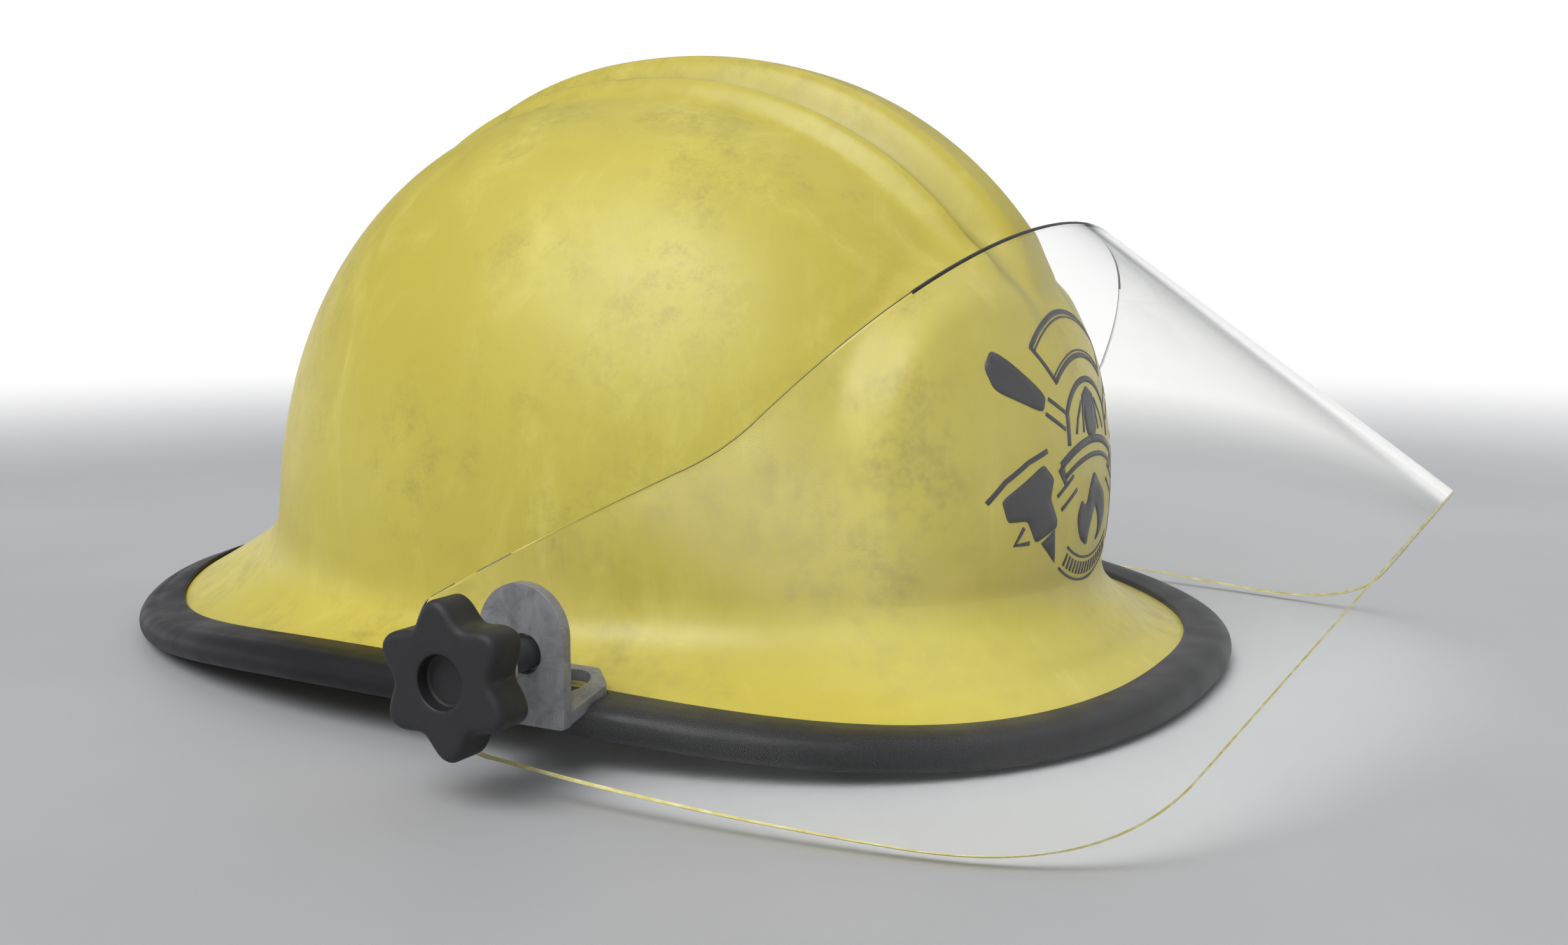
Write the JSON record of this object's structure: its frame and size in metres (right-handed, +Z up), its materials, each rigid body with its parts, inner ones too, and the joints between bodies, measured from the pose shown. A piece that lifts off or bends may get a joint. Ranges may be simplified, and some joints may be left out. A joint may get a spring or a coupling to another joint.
{
  "type": "firefighter helmet",
  "caption": "Structural firefighting helmet with a combed shell, edge trim, hinged clear face shield on side brackets with lobed knobs, and an adjustable suspension.",
  "frame": {"origin": "under the middle of the whole helmet's box, on the plane that the edge trim stands on", "axes": "+Z up, -Y towards the front of the helmet, -X towards the wearer's right"},
  "size_m": [0.3488, 0.4288, 0.183],
  "materials": {
    "shell": "semi-gloss lime-yellow moulded composite with faint smudges",
    "trim": "satin charcoal edge trim",
    "emblem": "dark grey printed film",
    "bracket": "mottled scratched galvanised steel",
    "rivet": "plain steel rivet",
    "bolt": "zinc plated steel",
    "washer": "zinc plated steel",
    "collar": "black nylon",
    "knob": "fine-grained black moulded plastic",
    "shield": "clear polycarbonate with a faint green tint at the edges",
    "liner": "charcoal moulded foam",
    "strap": "black woven webbing",
    "clip": "black moulded nylon",
    "band": "black moulded nylon",
    "pad": "dark brushed fabric over foam"
  },
  "bodies": {
    "helmet": {"shell": "shell", "edge_trim": "trim", "front_emblem": "emblem", "bracket_right": "bracket", "bracket_left": "bracket", "bracket_rivet_outer_right": "rivet", "bracket_rivet_outer_left": "rivet", "bracket_rivet_inner_right": "rivet", "bracket_rivet_inner_left": "rivet", "pivot_bolt_right": "bolt", "pivot_bolt_left": "bolt", "spring_washer_right": "washer", "spring_washer_left": "washer", "pivot_collar_right": "collar", "pivot_collar_left": "collar", "shield_washer_right": "washer", "shield_washer_left": "washer", "impact_liner": "liner", "crown_strap_1": "strap", "crown_strap_2": "strap", "crown_strap_3": "strap", "strap_clip_1a": "clip", "strap_clip_1b": "clip", "strap_clip_2a": "clip", "strap_clip_2b": "clip", "strap_clip_3a": "clip", "strap_clip_3b": "clip", "crown_pad": "pad", "headband": "band", "brow_pad": "pad", "headband_hanger_front_right": "clip", "headband_hanger_front_left": "clip", "headband_hanger_rear_right": "clip", "headband_hanger_rear_left": "clip", "nape_base": "band", "nape_cover": "band", "nape_pad": "pad"},
    "shield": {"face_shield": "shield"},
    "knob_right": {"shield_knob_right": "knob"},
    "knob_left": {"shield_knob_left": "knob"},
    "adjuster": {"size_knob": "knob", "size_pinion": "band"},
    "tail_right": {"size_rack_right": "band", "band_tail_right": "band"},
    "tail_left": {"size_rack_left": "band", "band_tail_left": "band"}
  },
  "joints": [
    {"name": "shield_tilt", "type": "hinge", "parent": "helmet", "child": "shield", "pos_m": [0, -0.03178, 0.0298], "axis": [1, 0, 0], "range_deg": [-10, 55]},
    {"name": "knob_right_turn", "type": "hinge", "parent": "helmet", "child": "knob_right", "pos_m": [-0.1675, -0.03178, 0.0298], "axis": [-1, 0, 0], "range_deg": [0, 360]},
    {"name": "knob_left_turn", "type": "hinge", "parent": "helmet", "child": "knob_left", "pos_m": [0.1675, -0.03178, 0.0298], "axis": [1, 0, 0], "range_deg": [0, 360]},
    {"name": "size_knob_turn", "type": "hinge", "parent": "helmet", "child": "adjuster", "pos_m": [0, 0.12, 0.035], "axis": [0, -1, 0], "range_deg": [0, 76]},
    {"name": "tail_right_slide", "type": "slide", "parent": "helmet", "child": "tail_right", "axis": [1, 0, 0], "range_m": [0, 0.008]},
    {"name": "tail_left_slide", "type": "slide", "parent": "helmet", "child": "tail_left", "axis": [-1, 0, 0], "range_m": [0, 0.008]}
  ],
  "couplings": [
    {"joint": "tail_right_slide", "follows": "size_knob_turn", "m_per_rad": 0.006},
    {"joint": "tail_left_slide", "follows": "size_knob_turn", "m_per_rad": 0.006}
  ]
}
